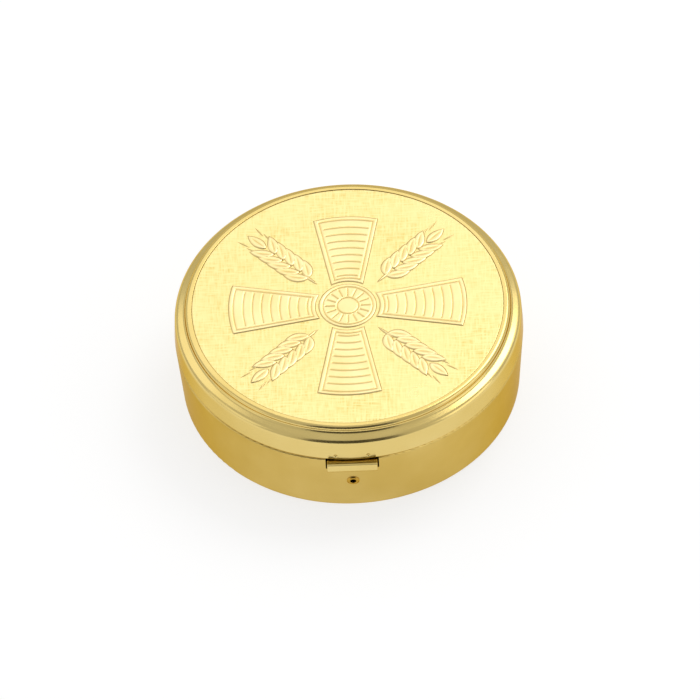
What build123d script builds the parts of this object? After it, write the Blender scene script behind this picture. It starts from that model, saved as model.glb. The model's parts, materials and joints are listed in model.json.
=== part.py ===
from build123d import *

import os
from math import acos, atan, atan2, degrees, hypot, sqrt

# Pyx: a round hinged box of gilt brass with a snap catch. Millimetres, +Z up.
# The origin is the centre of the flat bottom. The catch faces -Y and the hinge is at +Y.

# Lid
lid_radius = 40.0
skirt_taper = 0.26
lid_wall = 0.8
lid_height = 8.05
shoulder_drop = 2.35
shoulder_round = 1.4
bevel_run = 2.41
step_height = 1.57
step_round = 0.9
cove_round = 0.9
ring_width = 1.55
lid_edge_round = 0.4

# Plate set into the lid, with its relief
plate_gap = 0.1
plate_thickness = 0.7
plate_sink = 0.12
plate_edge_round = 0.12
relief_height = 0.22
cross_reach = 27.5
cross_end_half_width = 7.6
cross_neck_half_width = 3.2
boss_radius = 6.8

# Base
seam_height = 17.2
seam_gap = 0.1
base_wall = 1.0
base_taper = 1.4
floor_thickness = 0.8
bottom_round = 1.0
inner_corner_round = 0.5
base_rim_round = 0.4

# Collar inside the base, which centres the lid
collar_wall = 0.6
collar_rise = 2.0
collar_depth = 6.0
collar_lead_in = 0.25
lid_clearance = 0.22

# Solder film between pieces that are joined for good
solder_film = 0.02

# Thumb bar and its notch in the rim
bar_width = 11.5
bar_height = 2.86
bar_proud = 1.22
bar_top_gap = 0.4
bar_chamfer_run = 0.4
bar_chamfer_drop = 0.12
bar_top_round = 0.15
bar_bottom_round = 1.0
bar_end_round = 0.12
notch_side_gap = 0.35
notch_bottom_gap = 0.3
collar_side_gap = 0.3

# Lip and weld marks on the front of the lid's skirt
lip_width = 8.0
lip_drop = 0.1
weld_mark_spacing = 7.45
weld_mark_rise = 1.2
weld_mark_radius = 0.5
weld_mark_depth = 0.2

# Leaf spring of the catch
leaf_thickness = 0.4
stem_width = 6.0
stem_tail = 2.6
head_width = 10.6
hook_width = 7.0
jog_depth = 0.95
jog_start = 0.55
jog_height = 1.05
leaf_bend_round = 0.45
hook_rise = 1.3
hook_reach = 0.85

# Strike plate inside the lid's skirt
strike_width = 8.4
strike_thickness = 0.3
strike_height = 4.2
nib_rise = 0.3
nib_thickness = 0.4
nib_reach = 1.0

# Eyelet rivet that holds the leaf spring
rivet_drop = 7.75
eyelet_bore = 1.35
eyelet_wall = 0.3
eyelet_head_radius = 1.45
eyelet_head_edge = 0.06
eyelet_lip_radius = 1.1
eyelet_head_rise = 0.32
eyelet_lip_round = 0.12
eyelet_tail_radius = 1.5
eyelet_tail_thickness = 0.3
eyelet_clearance = 0.03

# Hinge
hinge_width = 14.0
middle_knuckle_width = 5.8
knuckle_radius = 1.25
knuckle_gap = 0.15
knuckle_clearance = 0.35
leaf_plate_thickness = 0.5
base_leaf_height = 6.2
lid_leaf_height = 2.9
leaf_corner_round = 0.5
hinge_pin_radius = 0.6
pin_seat_clearance = 0.01
pin_running_clearance = 0.04
pin_end = 0.25
pin_end_round = 0.15
heel_reach = 2.15
heel_thickness = 0.8
heel_clearance = 0.1
lid_open_angle = 105.0

# Sizes that follow from those above
lid_inner_radius = lid_radius - lid_wall
collar_radius = lid_inner_radius - lid_clearance
base_inner_radius = collar_radius + solder_film
base_radius = base_inner_radius + base_wall
base_draft = base_taper / seam_height
base_rim = seam_height - seam_gap
lid_top = seam_height + lid_height
shoulder_height = lid_top - shoulder_drop
skirt_draft = skirt_taper / (shoulder_height - seam_height)
shoulder_radius = lid_radius - skirt_taper
ring_radius = shoulder_radius - bevel_run
recess_radius = ring_radius - ring_width
plate_radius = recess_radius - plate_gap
recess_floor = lid_top - plate_sink - plate_thickness - solder_film
ceiling = recess_floor - lid_wall
bar_top = seam_height - bar_top_gap
bar_bottom = bar_top - bar_height
notch_width = bar_width + 2 * notch_side_gap
notch_floor = bar_bottom - notch_bottom_gap
rivet_height = seam_height - rivet_drop
leaf_inset = base_inner_radius - sqrt(base_inner_radius**2 - (stem_width / 2) ** 2) + solder_film
eyelet_radius = eyelet_bore / 2 + eyelet_wall
hinge_y = lid_radius + knuckle_radius + knuckle_clearance
leaf_plate_face = hinge_y - knuckle_radius + leaf_plate_thickness
heel_sweep = hypot(heel_reach, heel_thickness / 2)


def base_wall_at(height):
    """Outer radius of the base, which narrows evenly from its rim to its foot."""
    return base_radius - base_draft * (seam_height - height)


def base_bore_at(height):
    """Inner radius of the base."""
    return base_wall_at(height) - base_wall


def skirt_at(height):
    """Outer radius of the lid's skirt, which narrows evenly from its edge to the shoulder."""
    return lid_radius - skirt_draft * (height - seam_height)


def skirt_bore_at(height):
    """Inner radius of the lid's skirt."""
    return skirt_at(height) - lid_wall


def leaf_face_at(height):
    """Distance of the leaf spring's outer face from the axis; it lies along the base's wall."""
    return base_bore_at(height) - leaf_inset


def leaf_middle_at(height):
    """Distance of the leaf spring's middle from the axis."""
    return leaf_face_at(height) - leaf_thickness / 2


def block(x_span, y_span, z_span):
    """Box between a low and a high limit along each axis."""
    spans = (x_span, y_span, z_span)
    sizes = [high - low for low, high in spans]
    corner = [low for low, high in spans]
    return Pos(*corner) * Box(*sizes, align=(Align.MIN, Align.MIN, Align.MIN))


def centred(width):
    """Low and high limits of a width that is centred on zero."""
    return (-width / 2, width / 2)


def rounded_outline(points, rounds):
    """Closed outline through the points, with a round of its own at each named corner."""
    outline = make_face(Polyline(*points, close=True))
    for corner, radius in rounds:
        vertex = outline.vertices().sort_by_distance(Vector(*corner))[0]
        outline = fillet(vertex, radius)
    return outline


def turned(points, rounds=()):
    """Solid turned about Z from an outline of (radius, height) points."""
    return revolve(Plane.XZ * rounded_outline(points, rounds), Axis.Z)


def bar_along_x(x_low, x_high, y, z, radius):
    """Round bar along X between two limits."""
    length = x_high - x_low
    return Pos((x_low + x_high) / 2, y, z) * Rot(0, 90, 0) * Cylinder(radius, length)


def tapered_core(low, low_radius, high, high_radius):
    """Solid cone that stands in for the body a hinge leaf is fitted to."""
    return turned([(0, low), (low_radius, low), (high_radius, high), (0, high)])


def rivet_place():
    """Where the rivet goes through the front wall, square to it."""
    return Pos(0, -base_wall_at(rivet_height), rivet_height) * Rot(90 + degrees(atan(base_draft)), 0, 0)


def rivet_hole():
    """Round bar that passes through the front wall and the leaf behind it."""
    return rivet_place() * Cylinder(eyelet_radius + eyelet_clearance, base_radius)


def make_base_cup():
    """Drawn cup with a drafted wall, a rounded bottom corner, a notch in its front rim and a rivet hole."""
    bottom_corner = (base_wall_at(0), 0)
    rim_corner = (base_wall_at(base_rim), base_rim)
    inner_corner = (base_bore_at(floor_thickness), floor_thickness)
    points = [
        (0, 0),
        bottom_corner,
        rim_corner,
        (base_bore_at(base_rim), base_rim),
        inner_corner,
        (0, floor_thickness),
    ]
    rounds = [
        (bottom_corner, bottom_round),
        (rim_corner, base_rim_round),
        (inner_corner, inner_corner_round),
    ]
    cup = turned(points, rounds)
    notch_depth = (-base_radius - bar_proud, -base_inner_radius / 2)
    cup -= block(centred(notch_width), notch_depth, (notch_floor, seam_height))
    return cup - rivet_hole()


def make_base_collar():
    """Ring soldered inside the rim, open at the front where the catch stands."""
    low = seam_height - collar_depth
    high = seam_height + collar_rise
    lead = high - collar_lead_in
    low_radius = base_bore_at(low) - solder_film
    lead_radius = skirt_bore_at(lead) - lid_clearance
    points = [
        (low_radius - collar_wall, low),
        (low_radius, low),
        (collar_radius, seam_height),
        (lead_radius, lead),
        (lead_radius - collar_lead_in, high),
        (lead_radius - collar_wall, high),
        (collar_radius - collar_wall, seam_height),
    ]
    gap = centred(notch_width + 2 * collar_side_gap)
    return turned(points) - block(gap, (-lid_radius, 0), (low, high))


def make_eyelet_rivet():
    """Hollow rivet: a cone-shaped head outside the wall, a tube, and a rolled tail on the leaf."""
    bore = eyelet_bore / 2
    grip = -base_wall - leaf_inset - leaf_thickness - solder_film
    lip_outer = (eyelet_lip_radius, eyelet_head_rise)
    lip_inner = (bore, eyelet_head_rise)
    points = [
        (bore, grip - eyelet_tail_thickness),
        (eyelet_tail_radius, grip - eyelet_tail_thickness),
        (eyelet_tail_radius, grip),
        (eyelet_radius, grip),
        (eyelet_radius, 0),
        (eyelet_head_radius, 0),
        (eyelet_head_radius, eyelet_head_edge),
        lip_outer,
        lip_inner,
    ]
    return rivet_place() * turned(points, [(lip_outer, eyelet_lip_round), (lip_inner, eyelet_lip_round)])


def make_catch_spring():
    """Leaf from the rivet up behind the bar, set back above it and ending in an outward hook."""
    tail_z = rivet_height - stem_tail
    jog_z = bar_top - jog_start
    hook_y = -leaf_middle_at(jog_z) + jog_depth
    hook_z = seam_height + hook_rise
    path = FilletPolyline(
        (-leaf_middle_at(tail_z), tail_z),
        (-leaf_middle_at(jog_z), jog_z),
        (hook_y, jog_z + jog_height),
        (hook_y, hook_z),
        (hook_y - hook_reach, hook_z),
        radius=leaf_bend_round,
    )
    strip = extrude(Plane.YZ * trace(path, leaf_thickness), head_width / 2, both=True)
    depth = (-lid_radius, 0)
    stem = block(centred(stem_width), depth, (0, notch_floor + notch_bottom_gap))
    head = block(centred(head_width), depth, (bar_bottom, bar_top))
    hook = block(centred(hook_width), depth, (bar_top, lid_top))
    leaf = strip & (stem + head + hook)
    return leaf - rivet_hole()


def make_thumb_bar():
    """Straight bar with a flat chamfer along its top and a round below, soldered to the leaf."""
    front = -base_radius - bar_proud
    chamfer_back = (front + bar_chamfer_run, bar_top)
    chamfer_front = (front, bar_top - bar_chamfer_drop)
    lower = (front, bar_bottom)
    lower_back = (-leaf_face_at(bar_bottom) - solder_film, bar_bottom)
    upper_back = (-leaf_face_at(bar_top) - solder_film, bar_top)
    points = [lower_back, lower, chamfer_front, chamfer_back, upper_back]
    section = rounded_outline(points, [(chamfer_front, bar_top_round), (lower, bar_bottom_round)])
    bar = extrude(Plane.YZ * section, bar_width / 2, both=True)
    ends = bar.faces().sort_by(Axis.X)
    return fillet(ends[0].edges() + ends[-1].edges(), bar_end_round)


def make_lid_shell():
    """Drawn lid: skirt, shoulder, bevel, step, flat ring and the recess that takes the plate."""
    step_floor = lid_top - step_height
    bevel_drop = step_floor - shoulder_height
    wall_share = lid_wall * hypot(bevel_run, bevel_drop)
    inner_bevel_radius = ring_radius - (wall_share + (ceiling - step_floor) * bevel_run) / bevel_drop
    bore_reach = skirt_bore_at(0) - ring_radius
    inner_bevel_foot = (step_floor * bevel_run - wall_share - bore_reach * bevel_drop) / (
        bevel_run - skirt_draft * bevel_drop
    )
    ring_edge = (ring_radius, lid_top)
    cove = (ring_radius, step_floor)
    shoulder = (shoulder_radius, shoulder_height)
    skirt_edge = (lid_radius, seam_height)
    points = [
        (0, recess_floor),
        (recess_radius, recess_floor),
        (recess_radius, lid_top),
        ring_edge,
        cove,
        shoulder,
        skirt_edge,
        (lid_inner_radius, seam_height),
        (skirt_bore_at(inner_bevel_foot), inner_bevel_foot),
        (inner_bevel_radius, ceiling),
        (0, ceiling),
    ]
    rounds = [
        (ring_edge, step_round),
        (cove, cove_round),
        (shoulder, shoulder_round),
        (skirt_edge, lid_edge_round),
    ]
    lid = turned(points, rounds)
    lid += make_skirt_lip()
    mark_z = seam_height + weld_mark_rise
    mark_y = -sqrt(skirt_at(mark_z) ** 2 - (weld_mark_spacing / 2) ** 2) - weld_mark_radius + weld_mark_depth
    for side in (-1, 1):
        lid -= Pos(side * weld_mark_spacing / 2, mark_y, mark_z) * Sphere(weld_mark_radius)
    return lid


def make_skirt_lip():
    """Short lip that hangs from the skirt's edge between the two weld marks."""
    low = seam_height - lip_drop
    high = seam_height + lid_edge_round
    outer_edge = (lid_radius, low)
    points = [
        (lid_inner_radius, low),
        outer_edge,
        (skirt_at(high), high),
        (lid_inner_radius, high),
    ]
    ring = turned(points, [(outer_edge, lid_edge_round)])
    return ring & block(centred(lip_width), (-lid_radius, 0), (low, high))


def make_cross_arm():
    """Outline of one arm of the cross: straight sides that spread outwards, and an end on one circle."""
    neck = cross_neck_half_width
    end_x = sqrt(cross_reach**2 - cross_end_half_width**2)
    low_corner = (end_x, -cross_end_half_width)
    high_corner = (end_x, cross_end_half_width)
    sides = Polyline(high_corner, (neck, neck), (neck, -neck), low_corner)
    end = ThreePointArc(low_corner, (cross_reach, 0), high_corner)
    return make_face([sides, end])


def make_emblem_plate():
    """Disc with a raised cross and a round boss at its middle; its ground lies just under the lid's ring."""
    low = recess_floor + solder_film
    ground = low + plate_thickness
    edge = (plate_radius, ground)
    disc = turned([(0, low), (plate_radius, low), edge, (0, ground)], [(edge, plate_edge_round)])
    root = ground - plate_thickness / 2
    rise = relief_height + plate_thickness / 2
    boss = Circle(boss_radius)
    arms = [Rot(0, 0, 90 * quarter) * make_cross_arm() for quarter in range(4)]
    relief = extrude(Pos(0, 0, root) * (boss + arms), rise)
    return disc + relief


def make_lid_strike():
    """Curved plate soldered inside the skirt, with a nib at its lower edge under the catch's hook."""
    low = seam_height + nib_rise
    nib_top = low + nib_thickness
    high = low + strike_height
    low_face = skirt_bore_at(low) - solder_film
    high_face = skirt_bore_at(high) - solder_film
    points = [
        (low_face - nib_reach, low),
        (low_face, low),
        (high_face, high),
        (high_face - strike_thickness, high),
        (skirt_bore_at(nib_top) - solder_film - strike_thickness, nib_top),
        (low_face - nib_reach, nib_top),
    ]
    return turned(points) & block(centred(strike_width), (-lid_radius, 0), (0, lid_top))


def rounded_plate(x_span, y_span, z_span):
    """Hinge plate with its four outline corners rounded."""
    plate = block(x_span, y_span, z_span)
    return fillet(plate.edges().filter_by(Axis.Y), leaf_corner_round)


def make_base_hinge_leaf():
    """Plate fitted to the back of the base, with an outer knuckle at each end."""
    high = base_rim
    shelf = seam_height - heel_sweep - knuckle_gap
    depth = (0, leaf_plate_face)
    leaf = rounded_plate(centred(hinge_width), depth, (seam_height - base_leaf_height, shelf))
    inner = middle_knuckle_width / 2 + knuckle_gap
    for side in (-1, 1):
        low_x, high_x = sorted((side * inner, side * hinge_width / 2))
        leaf += block((low_x, high_x), depth, (shelf - leaf_corner_round, high))
        leaf += bar_along_x(low_x, high_x, hinge_y, seam_height, knuckle_radius)
    leaf -= tapered_core(0, base_wall_at(0) + solder_film, seam_height, base_radius + solder_film)
    bore = hinge_pin_radius + pin_seat_clearance
    return leaf - bar_along_x(-hinge_width, hinge_width, hinge_y, seam_height, bore)


def make_lid_hinge_leaf():
    """Plate fitted to the back of the lid, with the middle knuckle and a heel that stops the lid."""
    low = seam_height + knuckle_radius + 2 * knuckle_gap
    depth = (0, leaf_plate_face)
    middle = centred(middle_knuckle_width)
    leaf = rounded_plate(centred(hinge_width), depth, (low, seam_height + lid_leaf_height))
    leaf += block(middle, depth, (seam_height + knuckle_gap, low + leaf_corner_round))
    leaf += bar_along_x(*middle, hinge_y, seam_height, knuckle_radius)
    wall_distance = hinge_y - base_wall_at(seam_height - heel_reach) - heel_clearance
    stop_angle = 180 + degrees(acos(wall_distance / heel_sweep))
    lead_angle = degrees(atan2(heel_thickness / 2, heel_reach))
    heel_angle = stop_angle + lead_angle + lid_open_angle
    heel = block(middle, (0, heel_reach), centred(heel_thickness))
    leaf += Pos(0, hinge_y, seam_height) * Rot(heel_angle, 0, 0) * heel
    leaf -= tapered_core(
        seam_height, lid_radius + solder_film, shoulder_height, shoulder_radius + solder_film
    )
    bore = hinge_pin_radius + pin_running_clearance
    return leaf - bar_along_x(-hinge_width, hinge_width, hinge_y, seam_height, bore)


def make_hinge_pin():
    """Pin through the three knuckles, with its ends rounded over."""
    reach = hinge_width / 2 + pin_end
    pin = bar_along_x(-reach, reach, hinge_y, seam_height, hinge_pin_radius)
    return fillet(pin.edges().filter_by(GeomType.CIRCLE), pin_end_round)


pieces = {
    "base_cup": make_base_cup,
    "base_collar": make_base_collar,
    "eyelet_rivet": make_eyelet_rivet,
    "catch_spring": make_catch_spring,
    "thumb_bar": make_thumb_bar,
    "base_hinge_leaf": make_base_hinge_leaf,
    "hinge_pin": make_hinge_pin,
    "lid_shell": make_lid_shell,
    "emblem_plate": make_emblem_plate,
    "lid_strike": make_lid_strike,
    "lid_hinge_leaf": make_lid_hinge_leaf,
}

os.makedirs("parts", exist_ok=True)
for name, make in pieces.items():
    export_step(make(), f"parts/{name}.step")
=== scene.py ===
import json
from math import atan, cos, pi, radians, sin, sqrt

import bmesh
import bpy
import numpy as np
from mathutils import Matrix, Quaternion, Vector


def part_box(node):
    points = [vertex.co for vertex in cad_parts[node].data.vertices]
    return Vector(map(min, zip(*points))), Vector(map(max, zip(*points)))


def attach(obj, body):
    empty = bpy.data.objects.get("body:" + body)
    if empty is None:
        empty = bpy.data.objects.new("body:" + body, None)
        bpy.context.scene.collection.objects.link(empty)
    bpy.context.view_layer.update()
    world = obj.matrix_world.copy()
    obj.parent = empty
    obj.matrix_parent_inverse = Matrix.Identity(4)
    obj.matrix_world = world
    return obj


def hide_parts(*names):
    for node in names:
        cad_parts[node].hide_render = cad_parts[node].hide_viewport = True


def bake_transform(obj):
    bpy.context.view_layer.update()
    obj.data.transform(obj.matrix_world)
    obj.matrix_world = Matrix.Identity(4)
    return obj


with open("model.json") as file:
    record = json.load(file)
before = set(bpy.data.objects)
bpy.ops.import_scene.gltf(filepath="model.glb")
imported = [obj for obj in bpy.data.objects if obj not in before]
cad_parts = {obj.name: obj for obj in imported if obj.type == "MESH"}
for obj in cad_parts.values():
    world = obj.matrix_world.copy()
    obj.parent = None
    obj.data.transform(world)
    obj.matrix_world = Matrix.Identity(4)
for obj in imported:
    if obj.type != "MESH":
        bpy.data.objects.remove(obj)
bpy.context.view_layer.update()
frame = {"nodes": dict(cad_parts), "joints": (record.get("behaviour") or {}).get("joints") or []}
nodes = frame["nodes"]

# Base cup, collar and strike.
# The cup is drawn from brass sheet and gilt, with a satin wall brushed round the axis.
# The collar is soldered inside its rim, and the strike inside the lid's skirt.
mm = 0.001
satin_gold_light = (0.72, 0.53, 0.17, 1.0)
satin_gold_deep = (0.65, 0.46, 0.125, 1.0)
edge_gold = (0.75, 0.57, 0.28, 1.0)
polish_pitch = 0.12 * mm
polish_drift = 9.0 * mm
polish_gloss = 0.02
polish_strength = 0.25
# Noise scales are counts per metre. A noise seldom leaves the range from noise_low to noise_high.
gilt_patch_scale = 70.0
smear_scale = 160.0
noise_low = 0.3
noise_high = 0.7


def new_shader(name):
    """Empty gold material that stays gold at a slant, with its node tree and its shader."""
    material = bpy.data.materials.new(name)
    material.use_nodes = True
    tree = material.node_tree
    shader = tree.nodes["Principled BSDF"]
    shader.inputs["Metallic"].default_value = 1.0
    shader.inputs["Specular Tint"].default_value = edge_gold
    return material, tree, shader


def turned_grain(tree, pitch, drift):
    """Coordinates that change fast across the lines a lathe or a polishing wheel leaves.

    They are the radius and the height over the pitch, plus the place over the drift,
    so they change slowly along the lines.
    """
    place = tree.nodes.new("ShaderNodeTexCoord")
    parts = tree.nodes.new("ShaderNodeSeparateXYZ")
    tree.links.new(place.outputs["Object"], parts.inputs[0])
    flat = tree.nodes.new("ShaderNodeCombineXYZ")
    tree.links.new(parts.outputs["X"], flat.inputs["X"])
    tree.links.new(parts.outputs["Y"], flat.inputs["Y"])
    radius = tree.nodes.new("ShaderNodeVectorMath")
    radius.operation = "LENGTH"
    tree.links.new(flat.outputs[0], radius.inputs[0])
    across = tree.nodes.new("ShaderNodeCombineXYZ")
    tree.links.new(radius.outputs["Value"], across.inputs["X"])
    tree.links.new(parts.outputs["Z"], across.inputs["Y"])
    lines = tree.nodes.new("ShaderNodeVectorMath")
    lines.operation = "SCALE"
    lines.inputs["Scale"].default_value = 1 / pitch
    tree.links.new(across.outputs[0], lines.inputs[0])
    slow = tree.nodes.new("ShaderNodeVectorMath")
    slow.operation = "MULTIPLY_ADD"
    slow.inputs[1].default_value = (1 / drift, 1 / drift, 1 / drift)
    tree.links.new(place.outputs["Object"], slow.inputs[0])
    tree.links.new(lines.outputs[0], slow.inputs[2])
    return slow.outputs[0]


def stretched(tree, scale):
    """Coordinates multiplied by a scale for each axis."""
    place = tree.nodes.new("ShaderNodeTexCoord")
    stretch = tree.nodes.new("ShaderNodeMapping")
    stretch.inputs["Scale"].default_value = scale
    tree.links.new(place.outputs["Object"], stretch.inputs["Vector"])
    return stretch.outputs["Vector"]


def noise_of(tree, vector, scale, detail):
    """Noise on the given coordinates."""
    noise = tree.nodes.new("ShaderNodeTexNoise")
    noise.inputs["Scale"].default_value = scale
    noise.inputs["Detail"].default_value = detail
    tree.links.new(vector, noise.inputs["Vector"])
    return noise.outputs["Fac"]


def spread(tree, value, low, high):
    """The middle of a noise, spread out between two limits."""
    ramp = tree.nodes.new("ShaderNodeMapRange")
    ramp.inputs["From Min"].default_value = noise_low
    ramp.inputs["From Max"].default_value = noise_high
    ramp.inputs["To Min"].default_value = low
    ramp.inputs["To Max"].default_value = high
    tree.links.new(value, ramp.inputs["Value"])
    return ramp.outputs["Result"]


def joined(tree, operation, first, second):
    """Two varying values joined by a sum, a product or the like."""
    step = tree.nodes.new("ShaderNodeMath")
    step.operation = operation
    tree.links.new(first, step.inputs[0])
    tree.links.new(second, step.inputs[1])
    return step.outputs[0]


def blended(tree, factor, first, second):
    """Colour between two by a factor that varies over the surface."""
    mix = tree.nodes.new("ShaderNodeMix")
    mix.data_type = "RGBA"
    mix.inputs["A"].default_value = first
    mix.inputs["B"].default_value = second
    tree.links.new(factor, mix.inputs["Factor"])
    return mix.outputs["Result"]


def raised(tree, height, strength, depth):
    """Bump from a height."""
    bump = tree.nodes.new("ShaderNodeBump")
    bump.inputs["Strength"].default_value = strength
    bump.inputs["Distance"].default_value = depth
    tree.links.new(height, bump.inputs["Height"])
    return bump.outputs["Normal"]


def gold_finish(name, grain, light, deep, smoothest, roughest, line_depth):
    """Gilt brass: patches of two golds, uneven gloss, and fine lines along the grain."""
    material, tree, shader = new_shader(name)
    place = tree.nodes.new("ShaderNodeTexCoord").outputs["Object"]
    patches = spread(tree, noise_of(tree, place, gilt_patch_scale, detail=3.0), 0.0, 1.0)
    tree.links.new(blended(tree, patches, light, deep), shader.inputs["Base Color"])
    lines = noise_of(tree, grain(tree, polish_pitch, polish_drift), 1.0, detail=2.0)
    smears = noise_of(tree, place, smear_scale, detail=4.0)
    smear_gloss = spread(tree, smears, smoothest, roughest)
    line_gloss = spread(tree, lines, -polish_gloss, polish_gloss)
    tree.links.new(joined(tree, "ADD", smear_gloss, line_gloss), shader.inputs["Roughness"])
    tree.links.new(raised(tree, lines, polish_strength, line_depth), shader.inputs["Normal"])
    return material


def paint(node_name, material):
    """Gives a CAD node its finish."""
    mesh = nodes[node_name].data
    mesh.materials.clear()
    mesh.materials.append(material)


satin_gold = gold_finish(
    "satin_gold", turned_grain, satin_gold_light, satin_gold_deep,
    smoothest=0.3, roughest=0.38, line_depth=0.004 * mm,
)
for name in ("base_cup", "base_collar", "lid_strike"):
    paint(name, satin_gold)

# Eyelet rivet, thumb bar, hinge leaves and pin.
# Small fittings of polished gilt brass. The eyelet holds the leaf spring to the wall, the bar is
# soldered to the spring, and the hinge leaves are soldered to the backs of both shells.
polished_light = (0.79, 0.615, 0.235, 1.0)
polished_deep = (0.74, 0.56, 0.19, 1.0)
rivet_light = (0.6, 0.37, 0.065, 1.0)
rivet_deep = (0.5, 0.28, 0.04, 1.0)


def straight_grain(tree, pitch, drift):
    """Coordinates that change slowly along X and fast across it, as on a strip drawn lengthwise."""
    return stretched(tree, (1 / drift, 1 / pitch, 1 / pitch))


fitting_gold = gold_finish(
    "fitting_gold", straight_grain, polished_light, polished_deep,
    smoothest=0.14, roughest=0.2, line_depth=0.003 * mm,
)
for name in ("thumb_bar", "base_hinge_leaf", "lid_hinge_leaf", "hinge_pin"):
    paint(name, fitting_gold)

rivet_gold = gold_finish(
    "rivet_gold", turned_grain, rivet_light, rivet_deep,
    smoothest=0.18, roughest=0.26, line_depth=0.003 * mm,
)
paint("eyelet_rivet", rivet_gold)

# Catch spring.
# A strip of rolled spring brass, riveted to the wall by the eyelet, that lies along the wall,
# carries the bar, steps back above it and ends in a hook over the lid's nib.
spring_light = (0.74, 0.54, 0.19, 1.0)
spring_deep = (0.62, 0.43, 0.13, 1.0)
leaf_thickness = 0.4 * mm
leaf_tail_drop = 2.6 * mm
stem_half_width = 3.0 * mm
head_half_width = 5.3 * mm
hook_half_width = 3.5 * mm
jog_start_drop = 0.55 * mm
jog_depth = 0.95 * mm
jog_height = 1.05 * mm
hook_reach = 0.85 * mm
leaf_bend = 0.45 * mm
rivet_hole_radius = 1.005 * mm
wall_taper = 1.4 * mm
merge_distance = 0.0005 * mm

joint_places = {joint["name"]: joint["pos_m"] for joint in frame["joints"]}
catch_axis = Vector(joint_places["catch_press"])
# The hinge's axis lies as high as the wall's rim.
wall_draft = wall_taper / joint_places["lid_hinge"][2]
rivet_low, rivet_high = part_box("eyelet_rivet")
bar_low, bar_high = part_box("thumb_bar")
spring_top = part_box("catch_spring")[1].z


def leaf_y(height):
    """Where the middle of the leaf lies at a height: it leans as the wall does."""
    return catch_axis.y - wall_draft * (height - catch_axis.z)


def rounded_path(corners, rounds, steps):
    """Path through corners, with an arc of the given radius at each inner corner that has one.

    An arc's points are its two ends, seen from its centre, weighted by the sines of the angles
    that are left to each.
    """
    corners = np.array(corners)
    path = [corners[:1]]
    share = np.linspace(0.0, 1.0, steps)[:, None]
    for before, here, after, radius in zip(corners[:-2], corners[1:-1], corners[2:], rounds):
        if radius == 0:
            path.append(here[None, :])
            continue
        back_way = (before - here) / np.linalg.norm(before - here)
        on_way = (after - here) / np.linalg.norm(after - here)
        half_angle = np.arccos(np.dot(back_way, on_way)) / 2
        sweep = pi - 2 * half_angle
        inward = (back_way + on_way) / np.linalg.norm(back_way + on_way)
        centre = here + inward * radius / np.sin(half_angle)
        start = here + back_way * radius / np.tan(half_angle) - centre
        end = here + on_way * radius / np.tan(half_angle) - centre
        arc = np.sin((1 - share) * sweep) * start + np.sin(share * sweep) * end
        path.append(centre + arc / np.sin(sweep))
    path.append(corners[-1:])
    return np.concatenate(path)


def grid_faces(rows, columns, start=0):
    """Quads of a grid of points that is stored row by row."""
    corner = start + np.arange(rows - 1)[:, None] * columns + np.arange(columns - 1)[None, :]
    corner = corner.ravel()
    return np.stack([corner, corner + 1, corner + columns + 1, corner + columns], axis=1)


def mesh_piece(name, points, faces, material, line=None, undersides=()):
    """Mesh object from points, smooth faces and flat undersides, with points that coincide made one.

    The line gives the deeper gold at each point, if there is any: patina with painted shade in the
    engraved lines and at the feet of raised faces, and painted shade round the disc's edge.
    """
    mesh = bpy.data.meshes.new(name)
    mesh.from_pydata(points.tolist(), [], list(faces) + list(undersides))
    mesh.polygons.foreach_set("use_smooth", np.arange(len(mesh.polygons)) < len(faces))
    if line is not None:
        attribute = mesh.attributes.new("line", "FLOAT", "POINT")
        attribute.data.foreach_set("value", line.astype(np.float32))
    shape = bmesh.new()
    shape.from_mesh(mesh)
    bmesh.ops.remove_doubles(shape, verts=shape.verts, dist=merge_distance)
    shape.to_mesh(mesh)
    shape.free()
    mesh.materials.append(material)
    piece = bpy.data.objects.new(name, mesh)
    bpy.context.scene.collection.objects.link(piece)
    return piece


def make_spring(name, material):
    """Strip swept along a bent path in the YZ plane, then given its thickness.

    Each half runs from the edge of the rivet hole, or from the middle line above and below it, to the
    side of the strip. The hole is as wide at each height as a circle is.
    """
    stem_steps = 60
    bend_steps = 6
    width_steps = 5
    rivet_z = (rivet_low.z + rivet_high.z) / 2
    tail_z = rivet_z - leaf_tail_drop
    jog_z = bar_high.z - jog_start_drop
    hook_y = leaf_y(jog_z) + jog_depth
    hook_z = spring_top - leaf_thickness / 2
    stem_z = np.linspace(tail_z, bar_low.z, stem_steps)[:-1]
    stem = np.stack([leaf_y(stem_z), stem_z], axis=1)
    bends = rounded_path(
        [
            (leaf_y(bar_low.z), bar_low.z),
            (leaf_y(jog_z), jog_z),
            (hook_y, jog_z + jog_height),
            (hook_y, hook_z),
            (hook_y - hook_reach, hook_z),
        ],
        [leaf_bend] * 3,
        bend_steps,
    )
    path = np.concatenate([stem, bends])
    height = path[:, 1]
    half_width = np.where(height > bar_high.z, hook_half_width, head_half_width)
    half_width[: len(stem)] = stem_half_width
    hole = np.sqrt(np.clip(rivet_hole_radius**2 - (height - rivet_z) ** 2, 0.0, None))
    share = np.linspace(0.0, 1.0, width_steps)
    points = []
    faces = []
    for side in (-1, 1):
        across = side * (hole[:, None] + (half_width - hole)[:, None] * share[None, :])
        rows, columns = across.shape
        depth = np.repeat(path[:, :1], columns, axis=1)
        rise = np.repeat(path[:, 1:], columns, axis=1)
        quads = grid_faces(rows, columns, len(points) * rows * columns)
        faces.append(quads if side > 0 else quads[:, ::-1])
        points.append(np.stack([across, depth, rise], axis=2).reshape(-1, 3))
    piece = mesh_piece(name, np.concatenate(points), np.concatenate(faces).tolist(), material)
    sheet = piece.modifiers.new("thickness", "SOLIDIFY")
    sheet.thickness = leaf_thickness
    sheet.offset = 0.0
    return piece


spring_brass = gold_finish(
    "spring_brass", straight_grain, spring_light, spring_deep,
    smoothest=0.26, roughest=0.36, line_depth=0.004 * mm,
)
spring = make_spring("catch_leaf", spring_brass)
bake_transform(spring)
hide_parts("catch_spring")

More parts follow.
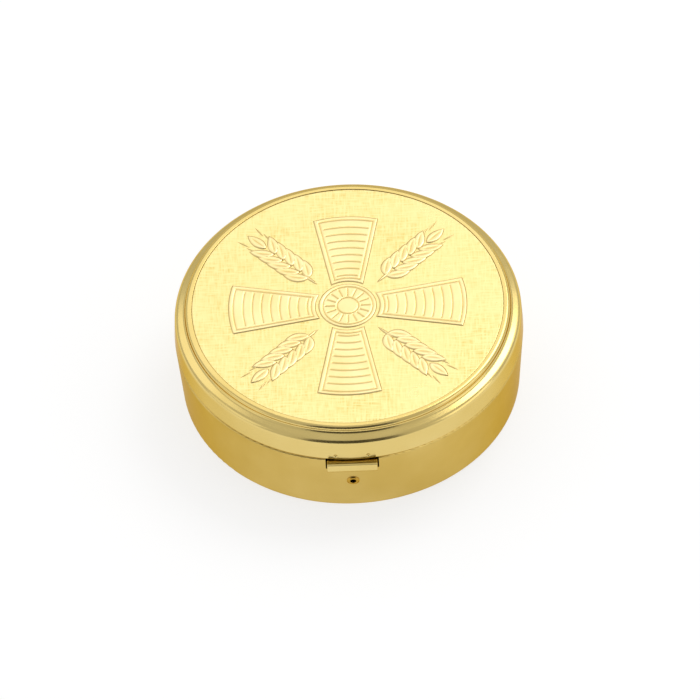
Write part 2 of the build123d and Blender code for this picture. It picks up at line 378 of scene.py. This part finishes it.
# Lid shell.
# Drawn from brass sheet with skirt, shoulder, bevel, step, ring and recess, wheel-polished and gilt.
# Two small weld marks and a short lip on the front of the skirt belong to the strike inside.
lid_wall = 0.8 * mm
skirt_taper = 0.26 * mm
shoulder_drop = 2.35 * mm
shoulder_round = 1.4 * mm
bevel_run = 2.41 * mm
step_height = 1.57 * mm
step_round = 0.9 * mm
ring_width = 1.55 * mm
ring_inner_round = 0.1 * mm
lid_edge_round = 0.4 * mm
recess_depth = 0.84 * mm
inner_shoulder_drop = 0.6 * lid_wall
inner_shoulder_round = 0.3 * mm
lip_drop = 0.1 * mm
lip_half_width = 4.0 * mm
weld_mark_x = 3.725 * mm
weld_mark_rise = 1.2 * mm
weld_mark_radius = 0.5 * mm
weld_mark_depth = 0.2 * mm

lid_low, lid_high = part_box("lid_shell")
lid_radius = lid_high.x
lid_top = lid_high.z
seam = lid_low.z + lip_drop


def ease(value):
    """Smooth step from 0 to 1."""
    value = np.clip(value, 0.0, 1.0)
    return value * value * (3 - 2 * value)


def turned_surface(profile, angle):
    """Points and faces of a profile of (radius, height) turned about Z through the given angles.

    A point is (radius times cosine, radius times sine, height). The profile starts and ends on
    the axis, and the faces close over the seam.
    """
    steps = len(angle)
    radius = profile[1:-1, 0][:, None]
    height = np.repeat(profile[1:-1, 1][:, None], steps, axis=1)
    rings = np.stack([radius * np.cos(angle), radius * np.sin(angle), height], axis=2)
    poles = np.array([[0.0, 0.0, profile[0, 1]], [0.0, 0.0, profile[-1, 1]]])
    points = np.concatenate([rings.reshape(-1, 3), poles])
    here = np.arange(steps)
    after = (here + 1) % steps
    last = (len(profile) - 3) * steps
    row = np.arange(0, last, steps)[:, None]
    quads = np.stack([row + here, row + after, row + steps + after, row + steps + here], axis=2)
    first_fan = np.stack([np.full(steps, len(points) - 2), after, here], axis=1)
    last_fan = np.stack([last + here, last + after, np.full(steps, len(points) - 1)], axis=1)
    return points, quads.reshape(-1, 4).tolist() + first_fan.tolist() + last_fan.tolist()


def make_lid(name, material):
    """Outline from the ceiling down the inside and up the outside, turned about Z.

    The weld marks are bowls cut by a ball, pressed in along Y, and the lip is the edge let down by an
    eased step. The angles lie closer together at the front, where these are.
    """
    skirt_steps = 40
    inside_arc_steps = 8
    outside_arc_steps = 16
    front_steps = 150
    other_steps = 440
    front = radians(270)
    front_half_angle = radians(7.5)
    shoulder_radius = lid_radius - skirt_taper
    shoulder_z = lid_top - shoulder_drop
    ring_radius = shoulder_radius - bevel_run
    step_floor = lid_top - step_height
    recess_radius = ring_radius - ring_width
    recess_floor = lid_top - recess_depth
    ceiling = recess_floor - lid_wall

    def on_skirt(share):
        """Point of the skirt's outside at a share of its height."""
        return (lid_radius - share * skirt_taper, seam + share * (shoulder_z - seam))

    below = rounded_path(
        [
            (0.0, ceiling),
            (recess_radius, ceiling),
            (shoulder_radius - lid_wall, shoulder_z - inner_shoulder_drop),
            (lid_radius - lid_wall, seam),
            (lid_radius, seam),
            on_skirt(0.25),
        ],
        [0.0, inner_shoulder_round, 0.0, lid_edge_round],
        inside_arc_steps,
    )
    above = rounded_path(
        [
            on_skirt(0.5),
            (shoulder_radius, shoulder_z),
            (ring_radius, step_floor),
            (ring_radius, lid_top),
            (recess_radius, lid_top),
            (recess_radius, recess_floor),
            (0.0, recess_floor),
        ],
        [shoulder_round, step_round, step_round, ring_inner_round, 0.0],
        outside_arc_steps,
    )
    skirt_run = np.linspace(0.0, 1.0, skirt_steps)[1:-1, None]
    skirt = below[-2] + (above[1] - below[-2]) * skirt_run
    profile = np.concatenate([below[:-1], skirt, above[1:]])
    first = front - front_half_angle
    last = front + front_half_angle
    angle = np.concatenate([
        np.linspace(first, last, front_steps, endpoint=False),
        np.linspace(last, first + 2 * pi, other_steps, endpoint=False),
    ])
    points, faces = turned_surface(profile, angle)
    x, y, z = points.T
    radius = np.hypot(x, y)
    outside = (y < 0) & (z < shoulder_z) & (radius > shoulder_radius - lid_wall / 3)
    away = np.hypot(np.abs(x) - weld_mark_x, z - seam - weld_mark_rise)
    ball = np.sqrt(np.clip(weld_mark_radius**2 - away**2, 0.0, None))
    bowl = ball - weld_mark_radius + weld_mark_depth
    points[:, 1] = y + np.where(outside, np.clip(bowl, 0.0, None), 0.0)
    near_edge = np.clip(1 - (z - seam) / lid_edge_round, 0.0, 1.0)
    hang = ease((lip_half_width - np.abs(x)) / lip_drop) * near_edge
    points[:, 2] = z - np.where(y < 0, lip_drop * hang, 0.0) * (radius > lid_radius / 2)
    return mesh_piece(name, points, faces, material)


lid_gold = gold_finish(
    "lid_gold", turned_grain, polished_light, polished_deep,
    smoothest=0.17, roughest=0.23, line_depth=0.003 * mm,
)
lid = make_lid("lid_turned", lid_gold)
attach(lid, "lid")
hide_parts("lid_shell")

# Emblem plate: the disc.
# A stamped brass disc set into the lid's recess. Its ground is rolled with a fine linen weave
# before gilding.
linen_light = (0.91, 0.76, 0.345, 1.0)
linen_deep = (0.58, 0.445, 0.085, 1.0)
shade_and_patina_gold = (0.5, 0.32, 0.06, 1.0)
relief_height = 0.22 * mm
plate_edge_round = 0.12 * mm
weave_pitch = 0.45 * mm
thread_length = 3.6 * mm
weave_depth = 0.03 * mm
weave_strength = 0.5
weave_patch_scale = 62.0
faintest_weave = 0.25
# The disc is drawn a little wider than its solid, so that it fills the recess.
plate_play = 0.05 * mm

plate_low, plate_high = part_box("emblem_plate")
plate_radius = plate_high.x + plate_play
ground = plate_high.z - relief_height


def with_shade_and_patina(tree, face):
    """Face colour that turns to deeper gold where the piece's lines are. This is patina with painted
    shade on the relief, and painted shade at the disc's edge.
    """
    line = tree.nodes.new("ShaderNodeAttribute")
    line.attribute_name = "line"
    mix = tree.nodes.new("ShaderNodeMix")
    mix.data_type = "RGBA"
    mix.inputs["B"].default_value = shade_and_patina_gold
    tree.links.new(line.outputs["Fac"], mix.inputs["Factor"])
    tree.links.new(face, mix.inputs["A"])
    return mix.outputs["Result"]


def linen_finish(name):
    """Gold with two sets of crossed threads, stronger in some patches than in others.

    Each set is a noise stretched along its threads, and the weave is the product of the two.
    """
    material, tree, shader = new_shader(name)
    place = tree.nodes.new("ShaderNodeTexCoord").outputs["Object"]
    along_x = stretched(tree, (1 / thread_length, 1 / weave_pitch, 1.0))
    along_y = stretched(tree, (1 / weave_pitch, 1 / thread_length, 1.0))
    threads = [noise_of(tree, way, 1.0, detail=2.0) for way in (along_x, along_y)]
    first, second = [spread(tree, thread, 0.0, 1.0) for thread in threads]
    weave = joined(tree, "MULTIPLY", first, second)
    patches = noise_of(tree, place, weave_patch_scale, detail=4.0)
    patches = spread(tree, patches, faintest_weave, 1.0)
    wear = joined(tree, "MULTIPLY", weave, patches)
    face = blended(tree, wear, linen_light, linen_deep)
    tree.links.new(with_shade_and_patina(tree, face), shader.inputs["Base Color"])
    tree.links.new(spread(tree, patches, low=0.27, high=0.35), shader.inputs["Roughness"])
    tree.links.new(raised(tree, weave, weave_strength, weave_depth), shader.inputs["Normal"])
    return material


def make_disc(name, material):
    """Disc turned from an outline: bottom, side, rounded edge and flat ground. Its rounded edge turns
    to deeper gold, painted shade where the disc meets the recess.
    """
    ground_rings = 40
    edge_steps = 8
    turn_steps = 240
    flat = np.linspace(plate_radius - 3 * plate_edge_round, plate_radius / ground_rings, ground_rings)
    outline = rounded_path(
        [(0.0, plate_low.z), (plate_radius, plate_low.z), (plate_radius, ground), (flat[0], ground)],
        [0.0, plate_edge_round],
        edge_steps,
    )
    rings = np.stack([flat[1:], np.full(ground_rings - 1, ground)], axis=1)
    profile = np.concatenate([outline, rings, [(0.0, ground)]])
    points, faces = turned_surface(profile, np.linspace(0.0, 2 * pi, turn_steps, endpoint=False))
    to_edge = plate_radius - np.hypot(points[:, 0], points[:, 1])
    # The deeper gold over the rounded edge is painted shade in the gap round the disc.
    return mesh_piece(name, points, faces, material, 1 - ease(to_edge / plate_edge_round))


disc = make_disc("emblem_disc", linen_finish("linen_gold"))
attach(disc, "lid")
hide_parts("emblem_plate")

# Emblem plate: the relief.
# Stamped up from the disc: a cross with spreading arms, a round boss and an ear of wheat in each
# quarter. The raised faces are satin, and engraved lines follow their borders.
relief_light = (0.94, 0.775, 0.4, 1.0)
relief_deep = (0.88, 0.7, 0.32, 1.0)
relief_patch_scale = 150.0
die_mark_scale = 2200.0
die_mark_depth = 0.01 * mm
die_mark_strength = 0.2
cross_reach = 27.5 * mm
cross_end_half_width = 7.6 * mm
cross_neck_half_width = 3.2 * mm
border_inset = 1.2 * mm
hatch_pitch = 2.1 * mm
hatch_inset = 1.35 * border_inset
hatch_fade = 0.3 * border_inset
boss_radius = 6.8 * mm
boss_outer_ring = 0.84 * boss_radius
boss_inner_ring = 0.36 * boss_radius
boss_rays = 16
rays_start = 0.4 * boss_radius
rays_end = 0.8 * boss_radius
rays_fade = 0.05 * boss_radius
stalk_foot = 9.5 * mm
stalk_half_width = 0.5 * mm
first_grain = 12.5 * mm
grain_step = 2.7 * mm
grain_pairs = 5
grain_length = 6.0 * mm
grain_half_width = 1.45 * mm
grain_lean = radians(33)
grain_curl = 0.4
awn_length = 4.0 * mm
awn_half_width = 0.3 * mm
awn_turn = 0.2
edge_ramp = 0.42 * mm
root_depth = 0.04 * mm
engraving_depth = 0.07 * mm
engraving_half_width = 0.2 * mm
# Deeper gold in the engraved lines and at the feet of raised faces: partly patina, partly painted
# shade.
line_shade_and_patina = 0.65
root_shade_and_patina = 0.75


def relief_finish(name):
    """Satin gold with deeper gold in the engraved lines and at the feet of the raised faces, partly
    patina and partly painted shade, and faint marks from the die.
    """
    material, tree, shader = new_shader(name)
    place = tree.nodes.new("ShaderNodeTexCoord").outputs["Object"]
    patches = noise_of(tree, place, relief_patch_scale, detail=3.0)
    face = blended(tree, spread(tree, patches, 0.0, 1.0), relief_light, relief_deep)
    tree.links.new(with_shade_and_patina(tree, face), shader.inputs["Base Color"])
    tree.links.new(spread(tree, patches, low=0.3, high=0.38), shader.inputs["Roughness"])
    die_marks = noise_of(tree, place, die_mark_scale, detail=2.0)
    die_bump = raised(tree, die_marks, die_mark_strength, die_mark_depth)
    tree.links.new(die_bump, shader.inputs["Normal"])
    return material


def engraving(distance):
    """Share of the full depth of an engraved line at a distance from its middle: a bell curve."""
    return np.exp(-((distance / engraving_half_width) ** 2))


def relief_shape(inside, line):
    """Height and painted shade of a raised face: a ramp from its edge, less the engraved lines. The
    shade, partly patina, lies in the lines and at the foot of the ramp.
    """
    rise = ease(inside / edge_ramp)
    height = ground - root_depth + (relief_height + root_depth) * rise - engraving_depth * line
    return height, np.maximum(line_shade_and_patina * line, root_shade_and_patina * (1 - rise))


def side_shares(columns):
    """Shares of a half width from one side, -1, to the other, 1, closer together at the sides."""
    return np.sin(np.linspace(-pi / 2, pi / 2, columns))[None, :]


def underside_of(rows, columns, start):
    """One flat face under a raised grid, round the whole of its border."""
    index = start + np.arange(rows * columns).reshape(rows, columns)
    border = [index[0], index[1:, -1], index[-1, -2::-1], index[-2:0:-1, 0]]
    return np.concatenate(border).tolist()


def relief_piece(name, material, grids):
    """Piece of raised grids of one size, each given by its arrays of x, y, height and painted shade
    with patina.
    """
    rows, columns = grids[0][0].shape
    starts = [rows * columns * place for place in range(len(grids))]
    points = [np.stack(grid[:3], axis=2).reshape(-1, 3) for grid in grids]
    shades_and_patina = [grid[3].ravel() for grid in grids]
    faces = [grid_faces(rows, columns, start)[:, ::-1] for start in starts]
    undersides = [underside_of(rows, columns, start) for start in starts]
    return mesh_piece(
        name, np.concatenate(points), np.concatenate(faces).tolist(), material,
        np.concatenate(shades_and_patina), undersides,
    )


def make_cross(name, material):
    """Four arms, each a grid over the distance from the centre and the share of the arm's spread.

    The height is an eased ramp from the nearest edge, less an engraved border and arcs across the arm.
    """
    arm_rows = 170
    arm_columns = 72
    end_x = sqrt(cross_reach**2 - cross_end_half_width**2)
    slope = (cross_end_half_width - cross_neck_half_width) / (end_x - cross_neck_half_width)
    lean = atan(slope)
    offset = cross_neck_half_width * (1 - slope) * cos(lean)
    inner = boss_radius + edge_ramp
    distance = np.linspace(inner, cross_reach, arm_rows)[:, None]
    share = side_shares(arm_columns)
    half_spread = lean + np.arcsin(offset / distance)
    angle = share * half_spread
    to_side = (1 - np.abs(share)) * half_spread * distance
    to_end = np.minimum(cross_reach - distance, distance - inner)
    inside = np.minimum(to_side, to_end)
    field = ease((inside - hatch_inset) / hatch_fade)
    from_arc = (distance - inner + hatch_pitch / 2) % hatch_pitch - hatch_pitch / 2
    line = np.maximum(engraving(inside - border_inset), engraving(from_arc) * field)
    height, shade_and_patina = relief_shape(inside, line)
    arms = []
    for quarter in range(4):
        turned = angle + quarter * pi / 2
        arms.append((distance * np.cos(turned), distance * np.sin(turned), height, shade_and_patina))
    return relief_piece(name, material, arms)


def make_boss(name, material):
    """Round boss turned about Z, then engraved with two rings and with rays between them."""
    boss_steps = 90
    turn_steps = 320
    top = np.stack([np.linspace(boss_radius, 0.0, boss_steps), np.full(boss_steps, ground)], axis=1)
    outline = np.concatenate([[(0.0, ground - root_depth)], top])
    points, faces = turned_surface(outline, np.linspace(0.0, 2 * pi, turn_steps, endpoint=False))
    distance = np.hypot(points[:, 0], points[:, 1])
    angle = np.arctan2(points[:, 1], points[:, 0])
    rings = np.maximum(engraving(distance - boss_outer_ring), engraving(distance - boss_inner_ring))
    ray_angle = (angle + pi / boss_rays) % (2 * pi / boss_rays) - pi / boss_rays
    between = ease((distance - rays_start) / rays_fade) * ease((rays_end - distance) / rays_fade)
    line = np.maximum(rings, engraving(ray_angle * distance) * between)
    height, shade_and_patina = relief_shape(boss_radius - distance, line)
    # The pole under the boss is the last point but one, and keeps its height.
    height[-2] = points[-2, 2]
    points[:, 2] = height
    return mesh_piece(name, points, faces, material, shade_and_patina)


def make_ears(name, material):
    """Ears of wheat: every grain, awn and stalk is a leaf-shaped grid over its length and its width.

    The half width follows a power of a sine along the length, a little fuller towards the foot.
    The height is a ramp from the edge, less an engraved rib.
    """
    leaf_rows = 19
    leaf_columns = 15
    leaf_fullness = 0.85
    leaf_bluntness = 0.75
    along = np.linspace(0.0, 1.0, leaf_rows)[:, None]
    share = side_shares(leaf_columns)

    def leaf(start, heading, length, half_width, curl=0.0):
        """One leaf shape that starts at a point of the plate and turns by curl over its length."""
        width = half_width * np.sin(pi * along**leaf_fullness) ** leaf_bluntness
        way = heading + curl * (along - 0.5)
        chord = heading + 0.5 * curl * (along - 1)
        x = start[0] + length * along * np.cos(chord) - share * width * np.sin(way)
        y = start[1] + length * along * np.sin(chord) + share * width * np.cos(way)
        inside = (1 - np.abs(share)) * width
        rib = engraving(share * width) * ease(2 * inside / half_width - 1)
        return x, y, *relief_shape(inside, rib * (half_width > 2 * awn_half_width))

    leaves = []
    for quarter in range(4):
        heading = pi / 4 + quarter * pi / 2
        ahead = np.array([cos(heading), sin(heading)])
        stalk_length = first_grain - stalk_foot + grain_step
        leaves.append(leaf(ahead * stalk_foot, heading, stalk_length, stalk_half_width))
        for pair in range(grain_pairs):
            start = ahead * (first_grain + pair * grain_step)
            for side in (-1, 1):
                lean = heading + side * grain_lean
                awn_way = lean - side * awn_turn
                awn_start = start + grain_length * np.array([cos(awn_way), sin(awn_way)])
                leaves.append(leaf(start, lean, grain_length, grain_half_width, -side * grain_curl))
                leaves.append(leaf(awn_start, heading + side * awn_turn, awn_length, awn_half_width))
        top = ahead * (first_grain + grain_pairs * grain_step)
        leaves.append(leaf(top, heading, grain_length, grain_half_width))
    return relief_piece(name, material, leaves)


relief_gold = relief_finish("relief_gold")
cross = make_cross("emblem_cross", relief_gold)
boss = make_boss("emblem_boss", relief_gold)
ears = make_ears("emblem_ears", relief_gold)
for piece in (cross, boss, ears):
    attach(piece, "lid")
    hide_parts("emblem_plate")

# Floor.
# Plain white paper, lit by the lamps so that the box keeps its shadow, and raised to white by
# a little glow of its own.
white = (1.0, 1.0, 1.0, 1.0)
paper_grey = (0.3, 0.3, 0.3, 1.0)
paper_roughness = 0.9
floor_reach = 6.0
floor_glow = 0.73


def card(name, corners, material):
    """Flat stage piece from its four corners."""
    mesh = bpy.data.meshes.new(name)
    mesh.from_pydata(corners, [], [(0, 1, 2, 3)])
    mesh.materials.append(material)
    piece = bpy.data.objects.new(name, mesh)
    bpy.context.scene.collection.objects.link(piece)
    return piece


def seen_directly(tree):
    """1 for rays from the camera and for mirrored or refracted ones, 0 for the others."""
    path = tree.nodes.new("ShaderNodeLightPath")
    seen = joined(tree, "MAXIMUM", path.outputs["Is Camera Ray"], path.outputs["Is Glossy Ray"])
    return joined(tree, "MAXIMUM", seen, path.outputs["Is Transmission Ray"])


paper = bpy.data.materials.new("paper")
paper.use_nodes = True
paper_tree = paper.node_tree
paper_shader = paper_tree.nodes["Principled BSDF"]
paper_shader.inputs["Base Color"].default_value = paper_grey
paper_shader.inputs["Roughness"].default_value = paper_roughness
paper_shader.inputs["Specular IOR Level"].default_value = 0.0
paper_shader.inputs["Emission Color"].default_value = white
glow = paper_tree.nodes.new("ShaderNodeMath")
glow.operation = "MULTIPLY"
glow.inputs[1].default_value = floor_glow
paper_tree.links.new(seen_directly(paper_tree), glow.inputs[0])
paper_tree.links.new(glow.outputs[0], paper_shader.inputs["Emission Strength"])
floor_corners = [
    (-floor_reach, -floor_reach, 0.0),
    (floor_reach, -floor_reach, 0.0),
    (floor_reach, floor_reach, 0.0),
    (-floor_reach, floor_reach, 0.0),
]
floor = card("floor", floor_corners, paper)

# Studio light.
# A wide softbox behind, a smaller and brighter one at the right, one at each side, a white room,
# and a dark flag in front that the camera doesn't see.
room_strength = 0.65
flag_colour = (0.06, 0.055, 0.04, 1.0)
flag_distance = 1.2
flag_half_width = 0.6
flag_low = 0.02
flag_high = 1.7

room = bpy.data.worlds.new("room")
bpy.context.scene.world = room
room.use_nodes = True
room_light = room.node_tree.nodes["Background"]
room_light.inputs["Color"].default_value = white
room_light.inputs["Strength"].default_value = room_strength


def direction_to(azimuth, elevation):
    """Unit vector from the box. Azimuth 0 is the front and 90 degrees the right."""
    return Vector((sin(azimuth) * cos(elevation), -cos(azimuth) * cos(elevation), sin(elevation)))


def softbox(name, azimuth, elevation, distance, width, height, radiance):
    """Rectangular lamp that faces the box. Its power gives the wanted radiance."""
    direction = direction_to(radians(azimuth), radians(elevation))
    lamp = bpy.data.lights.new(name, "AREA")
    lamp.shape = "RECTANGLE"
    lamp.size = width
    lamp.size_y = height
    lamp.energy = radiance * pi * width * height
    holder = bpy.data.objects.new(name, lamp)
    bpy.context.scene.collection.objects.link(holder)
    holder.location = direction * distance
    holder.rotation_euler = direction.to_track_quat("Z", "Y").to_euler()


softbox(
    "back_softbox", azimuth=180, elevation=57, distance=1.6,
    width=4.4, height=1.15, radiance=0.62,
)
softbox(
    "right_softbox", azimuth=138, elevation=54, distance=1.5,
    width=0.75, height=0.66, radiance=3.0,
)
softbox(
    "left_side_softbox", azimuth=-72, elevation=22, distance=1.5,
    width=0.9, height=0.9, radiance=0.4,
)
softbox(
    "right_side_softbox", azimuth=72, elevation=22, distance=1.5,
    width=0.9, height=0.9, radiance=0.8,
)

flag_cloth = bpy.data.materials.new("flag_cloth")
flag_cloth.use_nodes = True
flag_cloth.node_tree.nodes["Principled BSDF"].inputs["Base Color"].default_value = flag_colour
flag_corners = [
    (-flag_half_width, -flag_distance, flag_low),
    (flag_half_width, -flag_distance, flag_low),
    (flag_half_width, -flag_distance, flag_high),
    (-flag_half_width, -flag_distance, flag_high),
]
flag = card("flag", flag_corners, flag_cloth)
flag.visible_camera = False

# Camera.
# Far off with a long lens, so that the view is nearly parallel, as in the photo.
# The lens and the sensor are in millimetres, as cameras give them.
view_elevation = radians(48.44)
view_azimuth = radians(1.2)
view_roll = radians(3.0)
view_distance = 6.0
view_end = 50.0
view_lens = 1345.4
view_sensor = 36.0
aim_height = 9.86 * mm

back = direction_to(view_azimuth, view_elevation)
camera_data = bpy.data.cameras.new("camera")
camera_data.lens = view_lens
camera_data.sensor_width = view_sensor
camera_data.clip_end = view_end
camera = bpy.data.objects.new("camera", camera_data)
bpy.context.scene.collection.objects.link(camera)
upright = (-back).to_track_quat("-Z", "Y")
camera.location = Vector((0.0, 0.0, aim_height)) + back * view_distance
camera.rotation_euler = (upright @ Quaternion((0.0, 0.0, 1.0), -view_roll)).to_euler()
bpy.context.scene.camera = camera
bpy.context.scene.view_settings.view_transform = "Standard"
